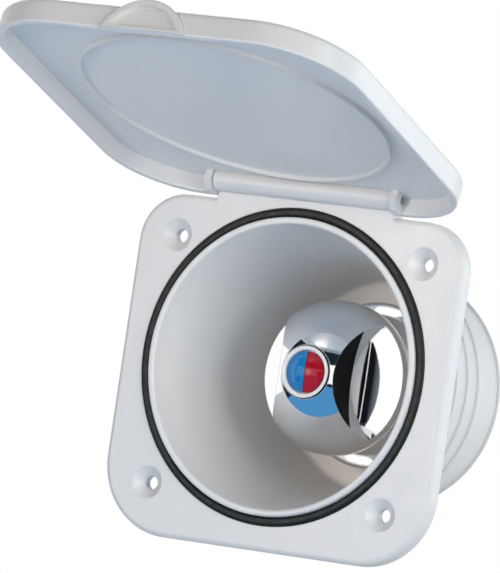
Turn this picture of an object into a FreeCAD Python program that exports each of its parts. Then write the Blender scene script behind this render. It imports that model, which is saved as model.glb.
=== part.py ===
import FreeCAD, Part
import math
import os

Vector = FreeCAD.Vector

# A flush-mounted mixer tap in a recessed box with a hinged lid, in millimetres.
# The origin is on the recess axis in the plane of the flange's back face.
# Z is up, the user stands on the -Y side, and the cup runs back along +Y.
# Depths are measured back from the flange's front face, so a negative depth is in front of it.

# Flange
flange_half_width = 63.6
flange_top = 55.4
flange_bottom = 63.7
flange_thickness = 6.4
flange_top_corner = 17.0
flange_bottom_corner = 26.0
flange_edge_round = 1.8

# Screw holes
upper_screw_x = 48.3
upper_screw_z = 40.9
lower_screw_x = 45.8
lower_screw_z = 45.5
screw_hole_radius = 2.35
countersink_radius = 5.75
countersink_depth = 3.4

# Mouth, lip and sealing ring
mouth_radius = 49.4
lip_width = 2.25
lip_height = 1.8
lip_edge_round = 0.7
seal_width = 3.35
seal_groove_depth = 2.6
seal_proud = 0.8
seal_edge_round = 1.2

# Cup
cup_depth = 78.0
cup_floor_radius = 38.0
cup_wall = 4.0
cup_floor_thickness = 4.0
cup_floor_round = 2.0
cup_foot_height = 3.5
cup_foot_wall = 3.0
spigot_length = 6.0
spigot_step = 1.35
collar_step = 1.4
cup_ridge_first_depth = 38.1
cup_ridge_pitch = 11.8
cup_ridge_count = 3
cup_ridge_width = 0.8
cup_ridge_height = 0.8

# Hinge
hinge_depth = -1.2
hinge_rise = 6.1
hinge_barrel_radius = 4.0
hinge_barrel_half_length = 34.6
hinge_end_gap = 0.3
hinge_web_overlap = 2.0
hinge_pin_radius = 1.5
hinge_pin_inset = 0.3
ear_thickness = 2.8
ear_radius = 5.2
ear_sides = 8

# Lid, drawn closed and then swung open
lid_open_angle = 108.2
lid_gap = 2.75
lid_side_gap = 1.6
lid_front_gap = 3.3
lid_hinge_cover = 4.0
lid_top_corner = 28.7
lid_bottom_corner = 30.3
lid_panel = 2.7
lid_skirt_depth = 6.0
lid_skirt_wall = 2.8
lid_edge_round = 1.8
lid_rim_round = 0.6
lid_notch_gap = 0.4
lid_ridge_inset = 0.8
lid_ridge_width = 1.2
lid_ridge_height = 1.5

# Thumb tab
tab_half_width = 15.7
tab_height = 11.2
tab_reach = 1.2
tab_rim = 2.2
tab_dish_depth = 2.0
tab_edge_round = 0.6

# Knob, a slightly flattened ball with a waisted rib between two scoops
knob_radius = 27.2
knob_half_depth = 24.3
knob_reach = 22.3
knob_opening_setback = 12.9
knob_wall = 3.7
knob_cavity_setback = 1.5
knob_boss_radius = 7.0
scoop_rib_margin = 1.4
scoop_wall_radius = 33.0
scoop_floor_radius = 23.4
scoop_floor_bow = 177.0
scoop_axis_offset = 10.1
scoop_angle = 46.9

# Button
button_radius = 9.3
button_recess = 4.2
button_floor = 1.3
button_bezel_width = 1.7
button_disc_gap = 0.4
button_split_gap = 0.2
button_bezel_proud = 0.7
button_bezel_round = 0.75
button_disc_sunk = 0.6

# Knob screw
knob_screw_radius = 2.0
knob_screw_head_radius = 3.6
knob_screw_head_height = 3.0
knob_screw_web = 3.0
knob_screw_engagement = 9.0
screw_access_radius = 4.2
screw_slot_width = 0.9
screw_slot_depth = 1.0

# Lever stem
stem_half = 2.9
stem_reach = 7.0
stem_socket_depth = 18.5
pivot_setback = 4.3
pivot_pin_radius = 1.5
pivot_pin_half_length = 7.2
stem_hub_radius = 3.6
arm_half_height = 1.8
arm_end_radius = 2.0
tilt_range = 22.0

# Carrier that turns with the knob
fork_radius = 7.5
fork_reach = 5.5
turn_flange_radius = 10.4
turn_flange_thickness = 6.0
fork_slot_bottom = 3.9
arm_slot_bottom = 7.2
arm_slot_top = 3.0

# Ceramic discs
carrier_radius = 7.9
carrier_thickness = 3.5
moving_disc_radius = 7.6
moving_disc_thickness = 3.0
fixed_disc_thickness = 3.5
disc_window_radius = 2.2
disc_window_offset = 3.2

# Cartridge
cartridge_wall = 2.4
cartridge_front_thickness = 1.6
cartridge_base_thickness = 3.5
cartridge_groove_setback = 5.0
cartridge_groove_width = 2.0
cartridge_groove_depth = 1.1
port_circle = 6.4
port_radius = 2.2
base_seal_outer = 3.9
base_seal_inner = 2.5
base_seal_thickness = 1.2

# Cartridge nut
nut_seat_width = 1.2
nut_thread_length = 5.5
nut_fork_gap = 0.6
nut_head_across_flats = 24.0
nut_head_height = 1.6

# Mixer body behind the back wall
neck_wall = 2.8
neck_length = 23.5
gasket_thickness = 1.5
body_flange_width = 6.0
body_flange_thickness = 5.0
body_core_wall = 3.0
body_core_length = 17.0
boss_circle = 13.0
boss_wall = 2.6
body_length = 24.5
body_edge_round = 1.0
outlet_angle = 270.0

# Ring nut and washer
ring_nut_width = 4.0
ring_nut_height = 5.0
washer_width = 7.0
washer_thickness = 1.5
washer_hole_gap = 0.2

# Chrome base round the neck
base_height = 9.0
base_draft = 0.5
base_wall = 1.5
base_nose_rise = 6.3
base_rim_width = 4.5
base_rim_round = 1.4
base_washer_gap = 2.0
base_seal_width = 4.0
base_seal_height = 1.2

# Tails for the pipes
tail_radius = 6.0
tail_wall = 2.4
tail_thread_length = 10.0
tail_seal_thickness = 1.2
tail_seal_width = 2.0
tail_hex_across_flats = 17.0
tail_hex_length = 6.0
tail_length = 14.0
tail_chamfer = 1.0

# Clearances
running_gap = 0.05
slide_gap = 0.2
press_gap = 0.02
disc_film_gap = 0.05

# Margins for cutting tools and for picking edges
cut_margin = 2.0
overrun = 1.0
pick_tolerance = 0.01

# Mouth and cup, from the ones above
lip_depth = -lip_height
seal_inner_radius = mouth_radius + lip_width
seal_outer_radius = seal_inner_radius + seal_width
spigot_radius = seal_inner_radius + spigot_step
collar_radius = spigot_radius + collar_step
cup_slope = (mouth_radius - cup_floor_radius) / (cup_depth - lip_depth)
floor_back_depth = cup_depth + cup_floor_thickness
cup_back_depth = floor_back_depth + cup_foot_height

# Hinge and lid
hinge_height = flange_top + hinge_rise
lid_inner_depth = -lid_gap
lid_outer_depth = lid_inner_depth - lid_panel
lid_rim_depth = lid_inner_depth + lid_skirt_depth
lid_half_width = flange_half_width + lid_side_gap + lid_skirt_wall
lid_top = hinge_height + lid_hinge_cover
lid_bottom = flange_bottom + lid_front_gap + lid_skirt_wall
lid_ridge_radius = seal_outer_radius - lid_ridge_inset
ear_inner_x = hinge_barrel_half_length + hinge_end_gap
ear_outer_x = ear_inner_x + ear_thickness

# Radii from the turning carrier outwards
cartridge_bore = turn_flange_radius + slide_gap
cartridge_radius = cartridge_bore + cartridge_wall
cartridge_groove_radius = cartridge_radius - cartridge_groove_depth
nut_hole_radius = fork_radius + nut_fork_gap
nut_thread_radius = cartridge_radius + nut_seat_width
neck_radius = nut_thread_radius + neck_wall
neck_hole_radius = neck_radius + washer_hole_gap
washer_radius = neck_radius + washer_width
ring_nut_across_flats = 2 * (neck_radius + ring_nut_width)
body_flange_radius = neck_radius + body_flange_width
body_core_radius = cartridge_radius + body_core_wall
boss_radius = tail_radius + boss_wall
tail_seal_radius = tail_radius + tail_seal_width
base_foot_radius = washer_radius + base_washer_gap + base_seal_width
base_rim_radius = base_foot_radius - base_draft
scoop_axis_distance = knob_radius + scoop_axis_offset
scoop_rib_half_width = button_radius + scoop_rib_margin
button_disc_radius = button_radius - button_bezel_width - button_disc_gap

# Depths forwards from the cup's floor
base_foot_depth = cup_depth - base_seal_height
base_rim_depth = base_foot_depth - base_height
base_nose_depth = base_rim_depth - base_nose_rise
body_front_depth = floor_back_depth + gasket_thickness
neck_front_depth = body_front_depth - neck_length
cartridge_front_depth = neck_front_depth + nut_thread_length
cartridge_groove_front = cartridge_front_depth + cartridge_groove_setback
turn_flange_front = cartridge_front_depth + cartridge_front_thickness + slide_gap
turn_flange_back = turn_flange_front + turn_flange_thickness
pivot_depth = turn_flange_front - pivot_setback
fork_front_depth = pivot_depth - fork_reach
knob_depth = pivot_depth - knob_reach
knob_opening_depth = knob_depth + knob_opening_setback
knob_cavity_front_depth = knob_depth + knob_cavity_setback
stem_tip_depth = knob_depth - stem_reach
knob_boss_end_depth = stem_tip_depth + stem_socket_depth
knob_front_depth = knob_depth - knob_half_depth
button_seat_depth = knob_front_depth + button_recess

# Depths backwards through the discs and the body
carrier_front = turn_flange_back + slide_gap
carrier_back = carrier_front + carrier_thickness
moving_disc_back = carrier_back + moving_disc_thickness
fixed_disc_front = moving_disc_back + disc_film_gap
fixed_disc_back = fixed_disc_front + fixed_disc_thickness
base_plate_back = fixed_disc_back + cartridge_base_thickness
body_back_depth = body_front_depth + body_length
tail_seal_back = body_back_depth + tail_seal_thickness
tail_hex_back = tail_seal_back + tail_hex_length

# Lever arm and the travel that it gives the moving disc
arm_length = carrier_back - slide_gap - arm_end_radius - pivot_depth
disc_travel = arm_length * math.sin(math.radians(tilt_range))
stem_slot_half = stem_half + slide_gap


def y_at(depth):
    return depth - flange_thickness


def rod(radius, front, back, x=0.0, z=0.0):
    """A cylinder along the recess axis, between two depths."""
    return Part.makeCylinder(radius, back - front, Vector(x, y_at(front), z), Vector(0, 1, 0))


def ring(outer, inner, front, back, x=0.0, z=0.0):
    return rod(outer, front, back, x, z).cut(rod(inner, front - cut_margin, back + cut_margin, x, z))


def cross_rod(radius, half_length, depth, z):
    """A cylinder along X, centred on the middle plane."""
    end = Vector(-half_length, y_at(depth), z)
    return Part.makeCylinder(radius, 2 * half_length, end, Vector(1, 0, 0))


def block(x_half, front, back, z_low, z_high):
    corner = Vector(-x_half, y_at(front), z_low)
    return Part.makeBox(2 * x_half, back - front, z_high - z_low, corner)


def prism(radius, sides, front, back, x=0.0, z=0.0):
    """A regular prism along the recess axis, with its corners on the given radius."""
    angles = [math.radians(360.0 * (k + 0.5) / sides) for k in range(sides + 1)]
    points = [Vector(x + radius * math.cos(a), y_at(front), z + radius * math.sin(a)) for a in angles]
    return Part.Face(Part.makePolygon(points)).extrude(Vector(0, back - front, 0))


def hexagon(across_flats, front, back, x=0.0, z=0.0):
    return prism(across_flats / math.sqrt(3.0), 6, front, back, x, z)


def turned(profile):
    """A solid of revolution about the recess axis from (radius, depth) points."""
    points = [Vector(radius, y_at(depth), 0) for radius, depth in profile]
    face = Part.Face(Part.makePolygon(points + points[:1]))
    return face.revolve(Vector(0, 0, 0), Vector(0, 1, 0), 360)


def rounded_plate(half_width, top, bottom, top_corner, bottom_corner, front, back):
    """A plate square to the recess axis with its own top and bottom corner radii."""
    y = y_at(front)
    corners = (
        (half_width - top_corner, top - top_corner, top_corner, 0),
        (top_corner - half_width, top - top_corner, top_corner, 90),
        (bottom_corner - half_width, bottom_corner - bottom, bottom_corner, 180),
        (half_width - bottom_corner, bottom_corner - bottom, bottom_corner, 270),
    )
    arcs = []
    for x, z, radius, start in corners:
        angles = [math.radians(start + turn) for turn in (0, 45, 90)]
        arcs.append([Vector(x + radius * math.cos(a), y, z + radius * math.sin(a)) for a in angles])
    edges = []
    for arc, following in zip(arcs, arcs[1:] + arcs[:1]):
        edges.append(Part.Arc(*arc).toShape())
        edges.append(Part.LineSegment(arc[2], following[0]).toShape())
    return Part.Face(Part.Wire(edges)).extrude(Vector(0, back - front, 0))


def edges_at(shape, depth, least_radius=0.0):
    """The edges that lie wholly in the plane at one depth, beyond a radius from the axis."""
    found = []
    for edge in shape.Edges:
        box = edge.BoundBox
        flat = max(abs(box.YMin - y_at(depth)), abs(box.YMax - y_at(depth))) < pick_tolerance
        point = edge.valueAt((edge.FirstParameter + edge.LastParameter) / 2)
        if flat and math.hypot(point.x, point.z) > least_radius:
            found.append(edge)
    return found


def port_places(circle):
    """Hot, cold and outlet ports at equal angles round the axis."""
    places = []
    for turn in (240.0, 120.0, 0.0):
        angle = math.radians(outlet_angle + turn)
        places.append((circle * math.cos(angle), circle * math.sin(angle)))
    return places


def cup_outside(depth):
    """The radius of the cup's tapered outside at one depth."""
    return mouth_radius + cup_wall - cup_slope * (depth - lip_depth)


def cup_band(front):
    """A narrow raised ring round the cup's outside."""
    wall = cup_outside(front)
    return ring(wall + cup_ridge_height, wall - cup_wall / 2, front, front + cup_ridge_width)


def make_cup():
    collar_back = flange_thickness + spigot_length
    foot_outside = cup_outside(cup_back_depth)
    cup = turned([
        (mouth_radius, lip_depth),
        (seal_inner_radius, lip_depth),
        (seal_inner_radius, seal_groove_depth),
        (collar_radius, seal_groove_depth),
        (collar_radius, flange_thickness),
        (spigot_radius, flange_thickness),
        (spigot_radius, collar_back),
        (cup_outside(collar_back), collar_back),
        (foot_outside, cup_back_depth),
        (foot_outside - cup_foot_wall, cup_back_depth),
        (foot_outside - cup_foot_wall, floor_back_depth),
        (neck_hole_radius, floor_back_depth),
        (neck_hole_radius, cup_depth),
        (cup_floor_radius, cup_depth),
    ])
    cup = cup.makeFillet(cup_floor_round, edges_at(cup, cup_depth, cup_floor_radius - overrun))
    cup = cup.makeFillet(lip_edge_round, edges_at(cup, lip_depth))
    for k in range(cup_ridge_count):
        cup = cup.fuse(cup_band(cup_ridge_first_depth + k * cup_ridge_pitch))
    return cup.fuse(cup_band(cup_back_depth - cup_ridge_width))


def make_hinge_barrel():
    barrel = cross_rod(hinge_barrel_radius, hinge_barrel_half_length, hinge_depth, hinge_height)
    web = block(
        hinge_barrel_half_length, 0, flange_thickness,
        flange_top - hinge_web_overlap, hinge_height)
    return barrel.fuse(web)


def screw_cutter(x, z):
    through = rod(screw_hole_radius, -cut_margin, flange_thickness + cut_margin, x, z)
    sink = Part.makeCone(
        countersink_radius, screw_hole_radius, countersink_depth,
        Vector(x, y_at(0), z), Vector(0, 1, 0))
    return through.fuse(sink)


def make_face_plate():
    plate = rounded_plate(
        flange_half_width, flange_top, flange_bottom,
        flange_top_corner, flange_bottom_corner, 0, flange_thickness)
    plate = plate.makeFillet(flange_edge_round, edges_at(plate, 0)).fuse(make_hinge_barrel())
    collar_hole = rod(collar_radius + press_gap, -cut_margin, flange_thickness + cut_margin)
    groove = rod(seal_outer_radius, -cut_margin, seal_groove_depth)
    plate = plate.cut(collar_hole).cut(groove)
    for x, z in (
        (-upper_screw_x, upper_screw_z), (upper_screw_x, upper_screw_z),
        (-lower_screw_x, -lower_screw_z), (lower_screw_x, -lower_screw_z),
    ):
        plate = plate.cut(screw_cutter(x, z))
    pin_bore = cross_rod(
        hinge_pin_radius + running_gap, hinge_barrel_half_length + cut_margin, hinge_depth, hinge_height)
    return plate.cut(pin_bore).removeSplitter()


def make_lid_seal():
    seal = ring(seal_outer_radius, seal_inner_radius, -seal_proud, seal_groove_depth)
    return seal.makeFillet(seal_edge_round, edges_at(seal, -seal_proud))


def make_ear(side):
    inner = min(side * ear_inner_x, side * ear_outer_x)
    angles = [math.radians(360.0 * (k + 0.5) / ear_sides) for k in range(ear_sides + 1)]
    y = y_at(hinge_depth)
    points = [
        Vector(inner, y + ear_radius * math.cos(a), hinge_height + ear_radius * math.sin(a))
        for a in angles
    ]
    return Part.Face(Part.makePolygon(points)).extrude(Vector(ear_thickness, 0, 0))


def tab_segment(inset, base_depth, low, high):
    """A circular segment with its flat side towards the skirt's rim, set in from the tab's arc."""
    radius = (tab_half_width ** 2 + tab_height ** 2) / (2 * tab_height)
    centre_depth = lid_rim_depth - tab_height + radius
    disc = Part.makeCylinder(
        radius - inset, high - low, Vector(0, y_at(centre_depth), low), Vector(0, 0, 1))
    return disc.common(block(radius, centre_depth - radius, base_depth, low, high))


def make_tab():
    outer_face = -lid_bottom - tab_reach
    tab = tab_segment(0, lid_rim_depth, outer_face, -lid_bottom + lid_skirt_wall / 2)
    outer_arc = [
        edge for edge in tab.Edges
        if isinstance(edge.Curve, Part.Circle) and edge.BoundBox.ZMax < outer_face + pick_tolerance
    ]
    tab = tab.makeFillet(tab_edge_round, outer_arc)
    dish_floor = outer_face + tab_dish_depth
    dish = tab_segment(tab_rim, lid_rim_depth - tab_rim / 2, outer_face, dish_floor)
    return tab.cut(dish)


def make_lid():
    shell = rounded_plate(
        lid_half_width, lid_top, lid_bottom, lid_top_corner, lid_bottom_corner,
        lid_outer_depth, lid_rim_depth)
    shell = shell.makeFillet(lid_edge_round, edges_at(shell, lid_outer_depth))
    hollow = rounded_plate(
        lid_half_width - lid_skirt_wall, lid_top - lid_skirt_wall, lid_bottom - lid_skirt_wall,
        lid_top_corner - lid_skirt_wall, lid_bottom_corner - lid_skirt_wall,
        lid_inner_depth, lid_rim_depth + cut_margin)
    lid = shell.cut(hollow)
    lid = lid.makeFillet(lid_rim_round, edges_at(lid, lid_rim_depth))
    notch = block(
        ear_inner_x, lid_outer_depth - cut_margin, lid_rim_depth + cut_margin,
        hinge_height - hinge_barrel_radius - lid_notch_gap, lid_top + cut_margin)
    lid = lid.cut(notch).fuse(make_ear(-1)).fuse(make_ear(1))
    ridge = ring(
        lid_ridge_radius + lid_ridge_width / 2, lid_ridge_radius - lid_ridge_width / 2,
        lid_inner_depth - lid_panel / 2, lid_inner_depth + lid_ridge_height)
    lid = lid.fuse(ridge).fuse(make_tab())
    pin_bore = cross_rod(
        hinge_pin_radius + press_gap, ear_outer_x + cut_margin, hinge_depth, hinge_height)
    lid = lid.cut(pin_bore)
    return swung_open(lid.removeSplitter())


def swung_open(shape):
    opened = shape.copy()
    opened.rotate(Vector(0, y_at(hinge_depth), hinge_height), Vector(1, 0, 0), -lid_open_angle)
    return opened


def make_hinge_pin():
    return cross_rod(hinge_pin_radius, ear_outer_x - hinge_pin_inset, hinge_depth, hinge_height)


def make_escutcheon():
    shell = turned([
        (neck_hole_radius, base_nose_depth),
        (base_rim_radius - base_rim_width, base_rim_depth),
        (base_rim_radius, base_rim_depth),
        (base_foot_radius, base_foot_depth),
        (base_foot_radius - base_wall, base_foot_depth),
        (base_rim_radius - base_wall, base_rim_depth + base_wall),
        (base_rim_radius - base_rim_width, base_rim_depth + base_wall),
        (neck_hole_radius, base_nose_depth + base_wall),
    ])
    outer_edge = edges_at(shell, base_rim_depth, base_rim_radius - overrun)
    return shell.makeFillet(base_rim_round, outer_edge)


def make_escutcheon_seal():
    return ring(base_foot_radius, base_foot_radius - base_seal_width, base_foot_depth, cup_depth)


def make_mixer_body():
    body = rod(neck_radius, neck_front_depth, body_front_depth)
    flange = rod(body_flange_radius, body_front_depth, body_front_depth + body_flange_thickness)
    body = body.fuse(flange.makeFillet(body_edge_round, flange.Edges))
    body = body.fuse(rod(body_core_radius, body_front_depth, body_front_depth + body_core_length))
    for x, z in port_places(boss_circle):
        body = body.fuse(rod(boss_radius, body_front_depth, body_back_depth, x, z))
    body = body.cut(rod(
        nut_thread_radius + running_gap, neck_front_depth - cut_margin, cartridge_front_depth))
    body = body.cut(rod(cartridge_radius + running_gap, neck_front_depth, base_plate_back))
    seal_floor = base_plate_back + base_seal_thickness
    port_front = body_back_depth - tail_thread_length - cut_margin
    for inner, outer in zip(port_places(port_circle), port_places(boss_circle)):
        pocket_radius = base_seal_outer + running_gap
        body = body.cut(rod(pocket_radius, base_plate_back - cut_margin, seal_floor, *inner))
        start = Vector(inner[0], y_at(seal_floor - overrun), inner[1])
        end = Vector(outer[0], y_at(port_front + overrun), outer[1])
        body = body.cut(Part.makeCylinder(port_radius, (end - start).Length, start, end - start))
        body = body.cut(rod(tail_radius + running_gap, port_front, body_back_depth + cut_margin, *outer))
    return body.removeSplitter()


def make_body_gasket():
    return ring(body_flange_radius, neck_hole_radius, floor_back_depth, body_front_depth)


def make_ring_nut():
    back = cup_depth - washer_thickness
    nut = hexagon(ring_nut_across_flats, back - ring_nut_height, back)
    return nut.cut(rod(neck_radius + running_gap, back - ring_nut_height - cut_margin, back + cut_margin))


def make_washer():
    return ring(washer_radius, neck_hole_radius, cup_depth - washer_thickness, cup_depth)


def make_cartridge_housing():
    shell = ring(cartridge_radius, cartridge_bore, cartridge_front_depth, fixed_disc_back)
    front = ring(
        cartridge_radius, fork_radius + slide_gap,
        cartridge_front_depth, cartridge_front_depth + cartridge_front_thickness)
    groove = ring(
        cartridge_radius + cut_margin, cartridge_groove_radius,
        cartridge_groove_front, cartridge_groove_front + cartridge_groove_width)
    return shell.fuse(front).cut(groove).removeSplitter()


def make_cartridge_nut():
    thread = rod(nut_thread_radius, neck_front_depth, cartridge_front_depth)
    head = hexagon(nut_head_across_flats, neck_front_depth - nut_head_height, neck_front_depth)
    hole_front = neck_front_depth - nut_head_height - cut_margin
    nut = thread.fuse(head).cut(rod(nut_hole_radius, hole_front, cartridge_front_depth + cut_margin))
    return nut.removeSplitter()


def make_cartridge_oring():
    return ring(
        cartridge_radius + running_gap / 2, cartridge_groove_radius,
        cartridge_groove_front, cartridge_groove_front + cartridge_groove_width)


def make_cartridge_base():
    plate = rod(cartridge_radius, fixed_disc_back, base_plate_back)
    for place in port_places(port_circle):
        port = rod(port_radius, fixed_disc_back - cut_margin, base_plate_back + cut_margin, *place)
        plate = plate.cut(port)
    return plate


def make_base_seals():
    seal_floor = base_plate_back + base_seal_thickness
    rings = [
        ring(base_seal_outer, base_seal_inner, base_plate_back, seal_floor, *place)
        for place in port_places(port_circle)
    ]
    return Part.makeCompound(rings)


def make_fixed_disc():
    disc = rod(cartridge_bore - slide_gap, fixed_disc_front, fixed_disc_back)
    for place in port_places(port_circle):
        port = rod(port_radius, fixed_disc_front - cut_margin, fixed_disc_back + cut_margin, *place)
        disc = disc.cut(port)
    return disc


def make_moving_disc():
    middle = disc_travel / 2
    disc = rod(moving_disc_radius, carrier_back, moving_disc_back, 0, middle)
    window = rod(
        disc_window_radius, moving_disc_back - moving_disc_thickness / 2, moving_disc_back + cut_margin,
        0, middle - disc_window_offset)
    return disc.cut(window)


def make_disc_carrier():
    disc = rod(carrier_radius, carrier_front, carrier_back, 0, disc_travel / 2)
    reach = arm_end_radius + slide_gap
    slot = block(stem_slot_half, carrier_front - cut_margin, carrier_back + cut_margin, -reach, reach)
    return disc.cut(slot)


def make_turn_carrier():
    fork = rod(fork_radius, fork_front_depth, turn_flange_front)
    carrier = fork.fuse(rod(turn_flange_radius, turn_flange_front, turn_flange_back))
    carrier = carrier.cut(block(
        stem_slot_half, fork_front_depth - cut_margin, turn_flange_front,
        -fork_slot_bottom, turn_flange_radius))
    carrier = carrier.cut(block(
        stem_slot_half, turn_flange_front, turn_flange_back + cut_margin,
        -arm_slot_bottom, arm_slot_top))
    bore = cross_rod(pivot_pin_radius + press_gap, fork_radius + cut_margin, pivot_depth, 0)
    return carrier.cut(bore).removeSplitter()


def make_stem_pivot_pin():
    return cross_rod(pivot_pin_radius, pivot_pin_half_length, pivot_depth, 0)


def make_lever_stem():
    stem = block(stem_half, stem_tip_depth, pivot_depth, -stem_half, stem_half)
    stem = stem.fuse(cross_rod(stem_hub_radius, stem_half, pivot_depth, 0))
    stem = stem.fuse(block(
        stem_half, pivot_depth, pivot_depth + arm_length, -arm_half_height, arm_half_height))
    stem = stem.fuse(cross_rod(arm_end_radius, stem_half, pivot_depth + arm_length, 0))
    stem = stem.cut(cross_rod(pivot_pin_radius + running_gap, stem_half + cut_margin, pivot_depth, 0))
    tapped = rod(
        knob_screw_radius + running_gap, stem_tip_depth - cut_margin,
        stem_tip_depth + knob_screw_engagement + cut_margin)
    return stem.cut(tapped).removeSplitter()


def knob_ball(growth):
    """The flattened ball, grown or shrunk by one amount all round."""
    centre = Vector(0, y_at(knob_depth), 0)
    side = centre + Vector(knob_radius + growth, 0, 0)
    back = centre + Vector(0, knob_half_depth + growth, 0)
    half = Part.Arc(Part.Ellipse(side, back, centre), -math.pi / 2, math.pi / 2).toBSpline()
    axis = Part.LineSegment(half.EndPoint, half.StartPoint)
    face = Part.Face(Part.Wire([half.toShape(), axis.toShape()]))
    return face.revolve(centre, Vector(0, 1, 0), 360)


def scoop_cutter(side):
    """A finger scoop: a waisted wall towards the button, and a bowed hollow floor."""
    wall = rod(
        scoop_wall_radius, knob_front_depth - cut_margin, knob_depth + knob_half_depth,
        side * (scoop_rib_half_width + scoop_wall_radius))
    angle = math.radians(side * scoop_angle)
    outwards = Vector(math.sin(angle), -math.cos(angle), 0)
    sweep_radius = scoop_floor_bow + scoop_floor_radius
    centre = Vector(0, y_at(knob_depth), 0) + outwards * (scoop_axis_distance - sweep_radius)
    floor = Part.makeTorus(sweep_radius, scoop_floor_radius, centre, outwards.cross(Vector(0, 0, 1)))
    return wall.common(floor)


def make_knob():
    reach = knob_radius + cut_margin
    ball = knob_ball(0).cut(scoop_cutter(-1)).cut(scoop_cutter(1))
    ball = ball.cut(block(reach, knob_opening_depth, knob_depth + reach, -reach, reach))
    cavity = knob_ball(-knob_wall).common(
        block(reach, knob_cavity_front_depth, knob_depth + reach, -reach, reach))
    ball = ball.cut(cavity)
    ball = ball.fuse(rod(knob_boss_radius, knob_cavity_front_depth, knob_boss_end_depth))
    socket = stem_half + running_gap
    ball = ball.cut(block(socket, stem_tip_depth, knob_boss_end_depth + cut_margin, -socket, socket))
    ball = ball.cut(rod(button_radius + running_gap, knob_front_depth - cut_margin, button_seat_depth))
    head_back = stem_tip_depth - knob_screw_web
    ball = ball.cut(rod(screw_access_radius, button_seat_depth - cut_margin, head_back))
    screw_hole = rod(knob_screw_radius + slide_gap, head_back - cut_margin, stem_tip_depth + cut_margin)
    return ball.cut(screw_hole)


def make_knob_screw():
    head_back = stem_tip_depth - knob_screw_web
    head_front = head_back - knob_screw_head_height
    screw = rod(knob_screw_head_radius, head_front, head_back)
    screw = screw.fuse(rod(knob_screw_radius, head_back, stem_tip_depth + knob_screw_engagement))
    half_slot = screw_slot_width / 2
    slot = block(
        knob_screw_head_radius + cut_margin, head_front - cut_margin, head_front + screw_slot_depth,
        -half_slot, half_slot)
    return screw.cut(slot)


def make_button_holder():
    front = knob_front_depth - cut_margin
    floor_depth = button_seat_depth - button_floor
    cup = rod(button_radius, front, button_seat_depth).common(knob_ball(button_bezel_proud))
    cup = cup.cut(rod(button_disc_radius + button_disc_gap, front, floor_depth))
    rim = [
        edge for edge in cup.Edges
        if edge.BoundBox.YLength < pick_tolerance and edge.BoundBox.YMax < y_at(floor_depth) - overrun
    ]
    return cup.makeFillet(button_bezel_round, rim)


def make_button_half(side):
    front = knob_front_depth - cut_margin
    floor_depth = button_seat_depth - button_floor
    disc = rod(button_disc_radius, front, floor_depth).common(knob_ball(-button_disc_sunk))
    inner = side * button_split_gap / 2
    outer = side * (button_disc_radius + cut_margin)
    corner = Vector(min(inner, outer), y_at(front), -button_radius)
    half = Part.makeBox(abs(outer - inner), floor_depth - front, 2 * button_radius, corner)
    return disc.common(half)


def make_tail(x, z):
    tail = rod(tail_radius, body_back_depth - tail_thread_length, tail_hex_back + tail_length, x, z)
    end = edges_at(tail, tail_hex_back + tail_length)
    tail = tail.makeChamfer(tail_chamfer, end)
    tail = tail.fuse(hexagon(tail_hex_across_flats, tail_seal_back, tail_hex_back, x, z))
    return tail.cut(rod(
        tail_radius - tail_wall, body_back_depth - tail_thread_length - cut_margin,
        tail_hex_back + tail_length + cut_margin, x, z))


def make_tail_seal(x, z):
    return ring(tail_seal_radius, tail_radius + running_gap, body_back_depth, tail_seal_back, x, z)


parts = {
    "face_plate": make_face_plate(),
    "cup": make_cup(),
    "lid_seal": make_lid_seal(),
    "lid": make_lid(),
    "hinge_pin": make_hinge_pin(),
    "escutcheon": make_escutcheon(),
    "escutcheon_seal": make_escutcheon_seal(),
    "mixer_body": make_mixer_body(),
    "body_gasket": make_body_gasket(),
    "ring_nut": make_ring_nut(),
    "washer": make_washer(),
    "cartridge_housing": make_cartridge_housing(),
    "cartridge_base": make_cartridge_base(),
    "cartridge_nut": make_cartridge_nut(),
    "cartridge_oring": make_cartridge_oring(),
    "base_seals": make_base_seals(),
    "fixed_disc": make_fixed_disc(),
    "moving_disc": make_moving_disc(),
    "disc_carrier": make_disc_carrier(),
    "turn_carrier": make_turn_carrier(),
    "lever_stem": make_lever_stem(),
    "stem_pivot_pin": make_stem_pivot_pin(),
    "knob": make_knob(),
    "knob_screw": make_knob_screw(),
    "button_holder": make_button_holder(),
    "button_blue": make_button_half(-1),
    "button_red": make_button_half(1),
}
for name, place in zip(("hot", "cold", "outlet"), port_places(boss_circle)):
    parts[name + "_tail"] = make_tail(*place)
    parts[name + "_tail_seal"] = make_tail_seal(*place)

os.makedirs("parts", exist_ok=True)
for name, shape in parts.items():
    shape.exportStep("parts/" + name + ".step")
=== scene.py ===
import math

import bpy
from mathutils import Matrix, Vector


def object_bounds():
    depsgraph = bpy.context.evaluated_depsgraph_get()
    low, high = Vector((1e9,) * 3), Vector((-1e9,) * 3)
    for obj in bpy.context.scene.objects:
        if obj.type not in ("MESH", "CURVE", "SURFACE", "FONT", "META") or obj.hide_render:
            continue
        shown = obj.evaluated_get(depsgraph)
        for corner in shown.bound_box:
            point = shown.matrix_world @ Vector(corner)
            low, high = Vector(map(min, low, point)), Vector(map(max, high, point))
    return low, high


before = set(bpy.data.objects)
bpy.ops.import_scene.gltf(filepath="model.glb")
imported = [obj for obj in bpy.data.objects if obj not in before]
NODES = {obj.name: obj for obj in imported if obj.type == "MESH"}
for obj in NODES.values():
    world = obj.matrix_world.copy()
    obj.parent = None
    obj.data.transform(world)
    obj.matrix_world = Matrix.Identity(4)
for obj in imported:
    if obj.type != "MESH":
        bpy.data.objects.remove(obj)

CAD_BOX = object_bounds()
CAD_BOTTOM = CAD_BOX[0][2]

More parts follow.
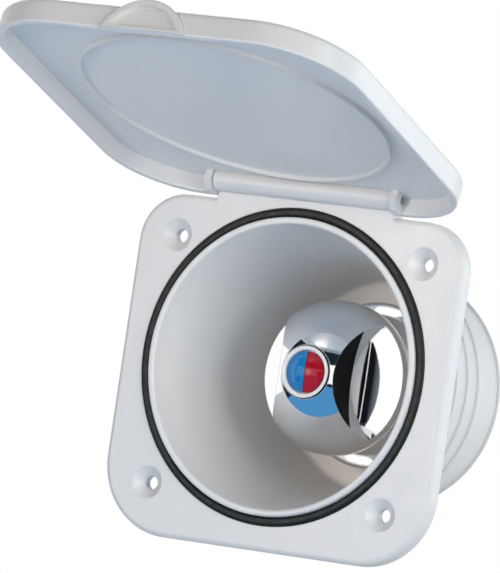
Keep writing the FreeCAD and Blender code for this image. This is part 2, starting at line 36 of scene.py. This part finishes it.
# Camera: where it looks, from which side, and its lens
IMAGE_WIDTH = 500
IMAGE_HEIGHT = 573
SENSOR = 36.0
FOCAL_PIXELS = 6128.5
CAMERA_AZIMUTH = math.radians(28.887)
CAMERA_ELEVATION = math.radians(-2.342)
CAMERA_ROLL = math.radians(8.397)
CAMERA_DISTANCE = 2.111
CAMERA_TARGET = Vector((-0.0168, -0.0064, 0.0261))
CAMERA_REACH = 20.0

# Colours as they are on the object
WHITE_PLASTIC = (0.80, 0.78, 0.755)
WHITE_PLASTIC_COOL = (0.77, 0.765, 0.755)
RUBBER = (0.004, 0.007, 0.007)
RUBBER_WORN = (0.009, 0.015, 0.015)
BEZEL = (0.96, 0.94, 0.90)
BEZEL_COOL = (0.94, 0.93, 0.90)
CHROME = (0.90, 0.905, 0.915)
STEEL = (0.60, 0.60, 0.61)
STEEL_DARK = (0.48, 0.48, 0.50)
BRASS = (0.66, 0.48, 0.22)
BRASS_DARK = (0.50, 0.35, 0.15)
CERAMIC = (0.82, 0.82, 0.79)
CERAMIC_WARM = (0.77, 0.76, 0.72)
INNER_PLASTIC = (0.62, 0.62, 0.60)
INNER_PLASTIC_DARK = (0.55, 0.55, 0.53)
# Painted black, not the object's colour: a painted reflection on the knob's scoop walls and a
# painted shadow in the bezel's joint
PAINTED_SHADOW_AND_REFLECTION_BLACK = (0.003, 0.003, 0.004)
BLUE = (0.014, 0.260, 0.62)
BLUE_DEEP = (0.010, 0.215, 0.55)
RED = (0.52, 0.006, 0.026)
RED_DEEP = (0.44, 0.005, 0.020)
FIBRE = (0.22, 0.06, 0.035)
FIBRE_DARK = (0.15, 0.04, 0.025)
BLACK = (0, 0, 0)
WHITE = (1, 1, 1)

# Roughness, from the smoothest spots of a surface to its roughest
PLASTIC_ROUGHNESS = (0.30, 0.42)
CERAMIC_ROUGHNESS = (0.15, 0.22)
FIBRE_ROUGHNESS = (0.6, 0.75)
CHROME_ROUGHNESS = (0.02, 0.05)
METAL_ROUGHNESS = (0.22, 0.36)
RUBBER_ROUGHNESS = (0.34, 0.58)
BEZEL_ROUGHNESS = (0.10, 0.16)
ENAMEL_ROUGHNESS = (0.10, 0.14)

# Gloss of the surfaces that are not metal
PLASTIC_GLOSS = 0.5
RUBBER_GLOSS = 0.3
# Gloss of the painted black reflection on the knob
PAINTED_BLACK_GLOSS = 0.06

# Light goes a little way into plastic: its share, and how far for red, green and blue
PLASTIC_DEPTH_SHARE = 0.06
PLASTIC_DEPTHS = (0.003, 0.0028, 0.0025)

# Radii of the softly rounded edges
PLASTIC_EDGE = 0.0005
BASE_EDGE = 0.0012
KNOB_EDGE = 0.0005
BEZEL_EDGE = 0.0002
RUBBER_EDGE = 0.0003
METAL_EDGE = 0.0003

# Where the knob's scoop walls lie, as seen along its axis
SCOOP_WALL_AXIS = 0.0437
SCOOP_WALL_RADIUS = 0.0330

# The painted reflection, black on these walls, reaches this far back at the height of the button,
# and less far above and below it
PAINTED_BLACK_DEPTH = 0.0253
PAINTED_BLACK_CURVE = 15.0
PAINTED_BLACK_MARGIN = 0.00008

# The button's front swells a little, like an enamel drop
BUTTON_SWELL_RADIUS = 0.018

# The bezel's outer edge, where a painted shadow darkens the joint with the knob
BEZEL_RIM_RADIUS = 0.00905

# Most of a noise lies between these two values
NOISE_LOW = 0.3
NOISE_HIGH = 0.7

# Cards that only mirror reflections see: each has its sides and its heights as seen from the
# knob, in degrees, and its glow
CARD_COLUMNS = 24
CARD_ROWS = 12
CARD_DISTANCE = 0.8
CARD_CENTRE = Vector((0, 0.02, 0))
CARDS = (
    ("card_above", (-85, 60), (15, 70), (0.010, 0.019, 0.030)),
    ("card_left", (-100, -60), (-12, 15), (0.012, 0.030, 0.050)),
    ("card_below", (-60, 14), (-13, -10), (0.012, 0.030, 0.050)),
    ("card_white", (-60, 38.6), (-9.5, 14.5), (1.15, 1.14, 1.12)),
    ("card_far_right", (38.6, 75), (-13, 15), (0.004, 0.004, 0.005)),
)

# A crescent in front of the white card goes from grey to black. Its left edge curves away
# above and below its middle.
CRESCENT_DISTANCE = 0.78
CRESCENT_SIDES = (14.5, 37.4)
CRESCENT_HEIGHTS = (-9.5, 11.5)
CRESCENT_CURVE = 0.15
CRESCENT_GREY = (0.20, 0.23, 0.26)
CRESCENT_BLACK = (0.005, 0.006, 0.009)
CRESCENT_BLACK_FROM = 0.6

# A dark card lies under the blue lamp below the object
TABLE_DROP = 0.095
TABLE_CARD_GAP = 0.002
TABLE_CARD_SIDES = (-0.6, 0.6)
TABLE_CARD_DEPTHS = (-0.03, -0.75)
TABLE_CARD_GLOW = (0.008, 0.022, 0.036)

# A bright card curves along the recess' left wall, just inside it. It is a painted reflection: it
# glows though it is no lamp, and the knob's chrome sees it in place of the wall.
BOUNCE_RADIUS = 0.0470
BOUNCE_TAPER = 0.145
BOUNCE_DEPTHS = (-0.005, 0.048)
BOUNCE_HALF_ANGLE = math.radians(26)
BOUNCE_GLOW = (1.1, 1.09, 1.08)

# Light from all round. Where the background itself is seen, it is white instead.
WORLD_COLOUR = (0.34, 0.69, 1.0)
WORLD_STRENGTH = 0.155

# Floor: its own colours, and the glow over them that the camera and reflections see
FLOOR = (0.60, 0.61, 0.62)
FLOOR_WARM = (0.62, 0.61, 0.60)
FLOOR_SEEN = (0.92, 0.92, 0.92)
FLOOR_GLOW = 0.8
FLOOR_ROUGHNESS = 0.8
FLOOR_SIZE = 6.0
FLOOR_DROP = 0.10


class Surface:
    """A material with one Principled shader, and short ways to add texture nodes to it."""

    def __init__(self, name):
        self.material = bpy.data.materials.new(name)
        self.material.use_nodes = True
        self.tree = self.material.node_tree
        self.shader = self.tree.nodes["Principled BSDF"]
        self.output = self.tree.nodes["Material Output"]
        self.place = self.add("ShaderNodeTexCoord").outputs["Object"]

    def add(self, kind, **settings):
        node = self.tree.nodes.new(kind)
        for key, value in settings.items():
            setattr(node, key, value)
        return node

    def link(self, source, target):
        self.tree.links.new(source, target)

    def set(self, socket, value):
        self.shader.inputs[socket].default_value = value

    def split_place(self):
        split = self.add("ShaderNodeSeparateXYZ")
        self.link(self.place, split.inputs["Vector"])
        return split.outputs["X"], split.outputs["Y"], split.outputs["Z"]

    def noise(self, per_metre, detail, roughness=0.5, stretch=(1, 1, 1)):
        mapping = self.add("ShaderNodeMapping")
        mapping.inputs["Scale"].default_value = stretch
        self.link(self.place, mapping.inputs["Vector"])
        node = self.add("ShaderNodeTexNoise")
        node.inputs["Scale"].default_value = per_metre
        node.inputs["Detail"].default_value = detail
        node.inputs["Roughness"].default_value = roughness
        self.link(mapping.outputs["Vector"], node.inputs["Vector"])
        return node.outputs["Fac"]

    def spread(self, value, low, high, start=NOISE_LOW, end=NOISE_HIGH):
        node = self.add("ShaderNodeMapRange")
        node.inputs["From Min"].default_value = start
        node.inputs["From Max"].default_value = end
        node.inputs["To Min"].default_value = low
        node.inputs["To Max"].default_value = high
        self.link(value, node.inputs["Value"])
        return node.outputs["Result"]

    def ramp(self, value, first, second, start=NOISE_LOW, end=NOISE_HIGH):
        ramp = self.add("ShaderNodeValToRGB")
        stops = zip(ramp.color_ramp.elements, (start, end), (first, second))
        for element, position, colour in stops:
            element.position = position
            element.color = (*colour, 1)
        self.link(value, ramp.inputs["Fac"])
        return ramp.outputs["Color"]

    def colour_between(self, value, first, second):
        self.link(self.ramp(value, first, second), self.shader.inputs["Base Color"])

    def rough(self, value, limits):
        self.link(self.spread(value, *limits), self.shader.inputs["Roughness"])

    def soft_edges(self, radius):
        bevel = self.add("ShaderNodeBevel", samples=4)
        bevel.inputs["Radius"].default_value = radius
        return bevel.outputs["Normal"]

    def bump(self, height, strength, depth, under=None):
        """A relief as deep as depth, in metres, over the one under it."""
        bump = self.add("ShaderNodeBump")
        bump.inputs["Strength"].default_value = strength
        bump.inputs["Distance"].default_value = depth
        self.link(height, bump.inputs["Height"])
        if under:
            self.link(under, bump.inputs["Normal"])
        return bump.outputs["Normal"]

    def relief(self, normal):
        self.link(normal, self.shader.inputs["Normal"])

    def math(self, operation, *values):
        node = self.add("ShaderNodeMath", operation=operation)
        for socket, value in zip(node.inputs, values):
            if isinstance(value, (int, float)):
                socket.default_value = value
            else:
                self.link(value, socket)
        return node.outputs["Value"]

    def sum_of_squares(self, first, second):
        return self.math(
            "ADD", self.math("MULTIPLY", first, first), self.math("MULTIPLY", second, second))

    def blend(self, factor, first, second):
        """A colour between two, each a plain colour or another node's output."""
        mix = self.add("ShaderNodeMix", data_type="RGBA")
        self.link(factor, mix.inputs["Factor"])
        colours = [socket for socket in mix.inputs if socket.type == "RGBA"]
        for socket, colour in zip(colours, (first, second)):
            if isinstance(colour, tuple):
                socket.default_value = (*colour, 1)
            else:
                self.link(colour, socket)
        return next(socket for socket in mix.outputs if socket.type == "RGBA")

    def show_mix(self, factor, first, second):
        """The surface is a mix of two shaders."""
        mix = self.add("ShaderNodeMixShader")
        shaders = [socket for socket in mix.inputs if socket.type == "SHADER"]
        self.link(factor, mix.inputs["Fac"])
        self.link(first, shaders[0])
        self.link(second, shaders[1])
        self.link(mix.outputs["Shader"], self.output.inputs["Surface"])


def moulded_plastic(name, first, second, roughness=PLASTIC_ROUGHNESS):
    surface = Surface(name)
    surface.colour_between(surface.noise(per_metre=18, detail=4), first, second)
    surface.rough(surface.noise(per_metre=140, detail=5), roughness)
    grain = surface.noise(per_metre=1400, detail=2)
    waviness = surface.noise(per_metre=45, detail=2)
    grained = surface.bump(
        grain, strength=0.12, depth=0.00006, under=surface.soft_edges(PLASTIC_EDGE))
    surface.relief(surface.bump(waviness, strength=0.10, depth=0.0006, under=grained))
    surface.set("Specular IOR Level", PLASTIC_GLOSS)
    surface.set("Subsurface Weight", PLASTIC_DEPTH_SHARE)
    surface.set("Subsurface Radius", PLASTIC_DEPTHS)
    return surface.material


def chrome(name, edge_radius):
    surface = Surface(name)
    surface.set("Base Color", (*CHROME, 1))
    surface.set("Metallic", 1.0)
    surface.rough(surface.noise(per_metre=90, detail=5, roughness=0.6), CHROME_ROUGHNESS)
    waviness = surface.noise(per_metre=60, detail=2)
    surface.relief(surface.bump(
        waviness, strength=0.02, depth=0.0004, under=surface.soft_edges(edge_radius)))
    return surface


def chrome_with_painted_reflection(name, edge_radius):
    """Chrome with a painted reflection: black gloss on the steep walls beside the knob's rib, in
    place of the dark that they reflect.
    """
    surface = chrome(name, edge_radius)
    x, y, z = surface.split_place()
    across = surface.math("SUBTRACT", surface.math("ABSOLUTE", x), SCOOP_WALL_AXIS)
    reach = surface.math("SQRT", surface.sum_of_squares(across, z))
    on_wall = surface.math("GREATER_THAN", reach, SCOOP_WALL_RADIUS - PAINTED_BLACK_MARGIN)
    inside = surface.math("LESS_THAN", reach, SCOOP_WALL_RADIUS + PAINTED_BLACK_MARGIN)
    loss = surface.math("MULTIPLY", surface.math("MULTIPLY", z, z), PAINTED_BLACK_CURVE)
    in_front = surface.math("LESS_THAN", surface.math("ADD", y, loss), PAINTED_BLACK_DEPTH)
    # Painted reflection: black instead of chrome where the scoop walls reflect the dark
    black = surface.math("MULTIPLY", surface.math("MULTIPLY", on_wall, inside), in_front)
    surface.link(surface.blend(black, CHROME, PAINTED_SHADOW_AND_REFLECTION_BLACK), surface.shader.inputs["Base Color"])
    surface.link(surface.math("SUBTRACT", 1.0, black), surface.shader.inputs["Metallic"])
    surface.set("Specular IOR Level", PAINTED_BLACK_GLOSS)
    return surface


def bezel_moulding(name):
    """Glossy white moulding with a thin painted shadow line round its outer edge, in the gap to
    the knob.
    """
    surface = Surface(name)
    x, _, z = surface.split_place()
    reach = surface.math("SQRT", surface.sum_of_squares(x, z))
    rim = surface.math("GREATER_THAN", reach, BEZEL_RIM_RADIUS)
    white = surface.ramp(surface.noise(per_metre=300, detail=3), BEZEL, BEZEL_COOL)
    # Painted shadow: black in the gap round the bezel's outer edge
    surface.link(surface.blend(rim, white, PAINTED_SHADOW_AND_REFLECTION_BLACK), surface.shader.inputs["Base Color"])
    surface.rough(surface.noise(per_metre=300, detail=3), BEZEL_ROUGHNESS)
    waviness = surface.noise(per_metre=500, detail=2)
    surface.relief(surface.bump(
        waviness, strength=0.04, depth=0.0001, under=surface.soft_edges(BEZEL_EDGE)))
    return surface.material


def rubber(name):
    surface = Surface(name)
    surface.colour_between(surface.noise(per_metre=260, detail=5), RUBBER, RUBBER_WORN)
    surface.rough(surface.noise(per_metre=400, detail=4), RUBBER_ROUGHNESS)
    grain = surface.noise(per_metre=1800, detail=3)
    surface.relief(surface.bump(
        grain, strength=0.25, depth=0.00008, under=surface.soft_edges(RUBBER_EDGE)))
    surface.set("Specular IOR Level", RUBBER_GLOSS)
    return surface.material


def machined_metal(name, first, second):
    surface = Surface(name)
    surface.set("Metallic", 1.0)
    surface.colour_between(surface.noise(per_metre=120, detail=5), first, second)
    surface.rough(
        surface.noise(per_metre=600, detail=4, roughness=0.6, stretch=(1, 6, 1)), METAL_ROUGHNESS)
    tool_marks = surface.noise(per_metre=900, detail=3, stretch=(1, 8, 1))
    surface.relief(surface.bump(
        tool_marks, strength=0.18, depth=0.00005, under=surface.soft_edges(METAL_EDGE)))
    return surface.material


def button_enamel(name, first, second):
    surface = Surface(name)
    surface.colour_between(surface.noise(per_metre=700, detail=3), first, second)
    surface.rough(surface.noise(per_metre=300, detail=3), ENAMEL_ROUGHNESS)
    x, _, z = surface.split_place()
    swell = surface.math("DIVIDE", surface.sum_of_squares(x, z), -2 * BUTTON_SWELL_RADIUS)
    waviness = surface.noise(per_metre=500, detail=2)
    surface.relief(surface.bump(
        waviness, strength=0.05, depth=0.0001, under=surface.bump(swell, strength=1.0, depth=1.0)))
    return surface.material


def dress(material, *names):
    for name in names:
        mesh = NODES[name].data
        mesh.materials.clear()
        mesh.materials.append(material)


def dress_nodes():
    dress(
        moulded_plastic("white_moulding", WHITE_PLASTIC, WHITE_PLASTIC_COOL),
        "face_plate", "cup", "lid")
    dress(
        rubber("black_rubber"),
        "lid_seal", "escutcheon_seal", "body_gasket", "cartridge_oring", "base_seals")
    dress(chrome("chrome_plate", BASE_EDGE).material, "escutcheon")
    dress(chrome_with_painted_reflection("knob_chrome", KNOB_EDGE).material, "knob")
    dress(bezel_moulding("bezel_moulding"), "button_holder")
    dress(
        machined_metal("bare_steel", STEEL, STEEL_DARK),
        "hinge_pin", "stem_pivot_pin", "knob_screw")
    dress(
        machined_metal("machined_brass", BRASS, BRASS_DARK),
        "mixer_body", "ring_nut", "cartridge_nut", "lever_stem",
        "hot_tail", "cold_tail", "outlet_tail")
    dress(
        moulded_plastic("inner_moulding", INNER_PLASTIC, INNER_PLASTIC_DARK),
        "cartridge_housing", "cartridge_base", "turn_carrier", "disc_carrier", "washer")
    dress(
        moulded_plastic("ceramic", CERAMIC, CERAMIC_WARM, CERAMIC_ROUGHNESS),
        "fixed_disc", "moving_disc")
    dress(button_enamel("blue_enamel", BLUE, BLUE_DEEP), "button_blue")
    dress(button_enamel("red_enamel", RED, RED_DEEP), "button_red")
    dress(
        moulded_plastic("fibre_washer", FIBRE, FIBRE_DARK, FIBRE_ROUGHNESS),
        "hot_tail_seal", "cold_tail_seal", "outlet_tail_seal")


def towards(azimuth, elevation):
    """The direction at an angle to the right of the front, and an angle above it."""
    return Vector((
        math.sin(azimuth) * math.cos(elevation),
        -math.cos(azimuth) * math.cos(elevation),
        math.sin(elevation)))


def add_camera():
    back = towards(CAMERA_AZIMUTH, CAMERA_ELEVATION)
    level_right = (-back).cross(Vector((0, 0, 1))).normalized()
    level_up = level_right.cross(-back)
    turn, rise = math.cos(CAMERA_ROLL), math.sin(CAMERA_ROLL)
    right = level_right * turn + level_up * rise
    up = level_up * turn - level_right * rise
    data = bpy.data.cameras.new("camera")
    data.sensor_width = SENSOR
    data.lens = FOCAL_PIXELS * SENSOR / max(IMAGE_WIDTH, IMAGE_HEIGHT)
    data.clip_end = CAMERA_REACH
    camera = bpy.data.objects.new("camera", data)
    bpy.context.scene.collection.objects.link(camera)
    placed = Matrix((right, up, back)).transposed().to_4x4()
    placed.translation = CAMERA_TARGET + back * CAMERA_DISTANCE
    camera.matrix_world = placed
    bpy.context.scene.camera = camera


def add_lamp(name, place, size, watts, colour, shape="SQUARE", aim=(0, 0, 0)):
    data = bpy.data.lights.new(name, "AREA")
    data.shape = shape
    data.size = size
    data.energy = watts
    data.color = colour
    lamp = bpy.data.objects.new(name, data)
    bpy.context.scene.collection.objects.link(lamp)
    lamp.location = place
    lamp.rotation_euler = (Vector(aim) - Vector(place)).to_track_quat("-Z", "Y").to_euler()
    lamp.visible_camera = False


def add_lights():
    add_lamp(
        "front", place=(-0.33, -1.26, 0.09), size=0.44, watts=6.0,
        colour=(1.0, 0.88, 0.78), shape="DISK")
    add_lamp("fill", place=(1.32, -0.54, 0.20), size=0.8, watts=12.3, colour=(1.0, 0.98, 0.96))
    add_lamp("rear", place=(0.9, 0.9, 0.3), size=0.8, watts=5.4, colour=(0.78, 0.91, 1.0))
    add_lamp("behind", place=(-1.0, 1.0, 0.9), size=1.0, watts=5.0, colour=(1.0, 0.97, 0.93))
    add_lamp(
        "table", place=(0, -0.33, CAD_BOTTOM - TABLE_DROP), size=0.5, watts=0.42,
        colour=(0.13, 0.50, 1.0), aim=(0, -0.33, 1))


def card_surface(name):
    """A surface that glows on its front and isn't there from its back."""
    surface = Surface(name)
    surface.set("Base Color", (*BLACK, 1))
    surface.set("Specular IOR Level", 0)
    surface.set("Emission Strength", 1)
    from_behind = surface.add("ShaderNodeNewGeometry").outputs["Backfacing"]
    clear = surface.add("ShaderNodeBsdfTransparent").outputs["BSDF"]
    surface.show_mix(from_behind, surface.shader.outputs["BSDF"], clear)
    return surface


def plain_card(name, glow):
    surface = card_surface(name)
    surface.set("Emission Color", (*glow, 1))
    return surface.material


def crescent_card(name):
    surface = card_surface(name)
    left, right = (CRESCENT_DISTANCE * math.sin(math.radians(side)) for side in CRESCENT_SIDES)
    x, _, _ = surface.split_place()
    shade = surface.spread(x, 0, 1, left, right)
    glow = surface.ramp(shade, CRESCENT_GREY, CRESCENT_BLACK, 0, CRESCENT_BLACK_FROM)
    surface.link(glow, surface.shader.inputs["Emission Color"])
    return surface.material


def add_card(material, points):
    """A sheet through rows of points, which only mirror reflections see."""
    width = CARD_COLUMNS + 1
    faces = []
    for row in range(CARD_ROWS):
        for column in range(CARD_COLUMNS):
            corner = row * width + column
            faces.append((corner, corner + width, corner + width + 1, corner + 1))
    mesh = bpy.data.meshes.new(material.name)
    mesh.from_pydata(points, [], faces)
    mesh.materials.append(material)
    card = bpy.data.objects.new(material.name, mesh)
    bpy.context.scene.collection.objects.link(card)
    card.visible_camera = False
    card.visible_diffuse = False
    card.visible_shadow = False


def grid(first, last, steps):
    return [first + (last - first) * step / steps for step in range(steps + 1)]


def seen_from_knob(side, height, distance):
    return CARD_CENTRE + distance * towards(math.radians(side), math.radians(height))


def add_studio_cards():
    for name, sides, heights, glow in CARDS:
        add_card(plain_card(name, glow), [
            seen_from_knob(side, height, CARD_DISTANCE)
            for height in grid(*heights, CARD_ROWS)
            for side in grid(*sides, CARD_COLUMNS)
        ])


def add_crescent():
    left, right = CRESCENT_SIDES
    add_card(crescent_card("card_crescent"), [
        seen_from_knob(side, height, CRESCENT_DISTANCE)
        for height in grid(*CRESCENT_HEIGHTS, CARD_ROWS)
        for side in grid(min(right, left + CRESCENT_CURVE * height ** 2), right, CARD_COLUMNS)
    ])


def add_table_card():
    level = CAD_BOTTOM - TABLE_DROP - TABLE_CARD_GAP
    add_card(plain_card("card_table", TABLE_CARD_GLOW), [
        (x, y, level)
        for y in grid(*TABLE_CARD_DEPTHS, CARD_ROWS)
        for x in grid(*TABLE_CARD_SIDES, CARD_COLUMNS)
    ])


def add_bounce_card():
    points = []
    for y in grid(*BOUNCE_DEPTHS, CARD_ROWS):
        reach = BOUNCE_RADIUS - BOUNCE_TAPER * y
        for turn in grid(-BOUNCE_HALF_ANGLE, BOUNCE_HALF_ANGLE, CARD_COLUMNS):
            points.append((-reach * math.cos(turn), y, reach * math.sin(turn)))
    # Painted reflection: a glowing sheet inside the recess that the chrome sees instead of the
    # wall
    add_card(plain_card("card_bounce", BOUNCE_GLOW), points)


def shown_rays(tree):
    """One for rays that show a background: the camera's, and those off metal or through glass."""
    ray = tree.nodes.new("ShaderNodeLightPath")
    shown = ray.outputs["Is Camera Ray"]
    for kind in ("Is Glossy Ray", "Is Transmission Ray"):
        add = tree.nodes.new("ShaderNodeMath")
        add.operation = "ADD"
        add.use_clamp = True
        first, second = add.inputs[:2]
        tree.links.new(shown, first)
        tree.links.new(ray.outputs[kind], second)
        shown = add.outputs["Value"]
    return shown


def add_world():
    world = bpy.data.worlds.new("studio")
    bpy.context.scene.world = world
    world.use_nodes = True
    tree = world.node_tree
    light = tree.nodes["Background"]
    light.inputs["Color"].default_value = (*WORLD_COLOUR, 1)
    light.inputs["Strength"].default_value = WORLD_STRENGTH
    white = tree.nodes.new("ShaderNodeBackground")
    white.inputs["Color"].default_value = (*WHITE, 1)
    mix = tree.nodes.new("ShaderNodeMixShader")
    shaders = [socket for socket in mix.inputs if socket.type == "SHADER"]
    tree.links.new(shown_rays(tree), mix.inputs["Fac"])
    tree.links.new(light.outputs["Background"], shaders[0])
    tree.links.new(white.outputs["Background"], shaders[1])
    tree.links.new(mix.outputs["Shader"], tree.nodes["World Output"].inputs["Surface"])


def add_floor():
    surface = Surface("pale_floor")
    surface.set("Roughness", FLOOR_ROUGHNESS)
    surface.colour_between(surface.noise(per_metre=3, detail=3), FLOOR, FLOOR_WARM)
    pale = surface.add("ShaderNodeEmission")
    pale.inputs["Color"].default_value = (*FLOOR_SEEN, 1)
    glow = surface.math("MULTIPLY", shown_rays(surface.tree), FLOOR_GLOW)
    surface.show_mix(glow, surface.shader.outputs["BSDF"], pale.outputs["Emission"])
    bpy.ops.mesh.primitive_plane_add(size=FLOOR_SIZE, location=(0, 0, CAD_BOTTOM - FLOOR_DROP))
    floor = bpy.context.object
    floor.name = "floor"
    floor.data.materials.append(surface.material)


dress_nodes()
add_camera()
add_lights()
add_world()
add_floor()
add_studio_cards()
add_crescent()
add_table_card()
add_bounce_card()
bpy.context.scene.view_settings.view_transform = "Standard"
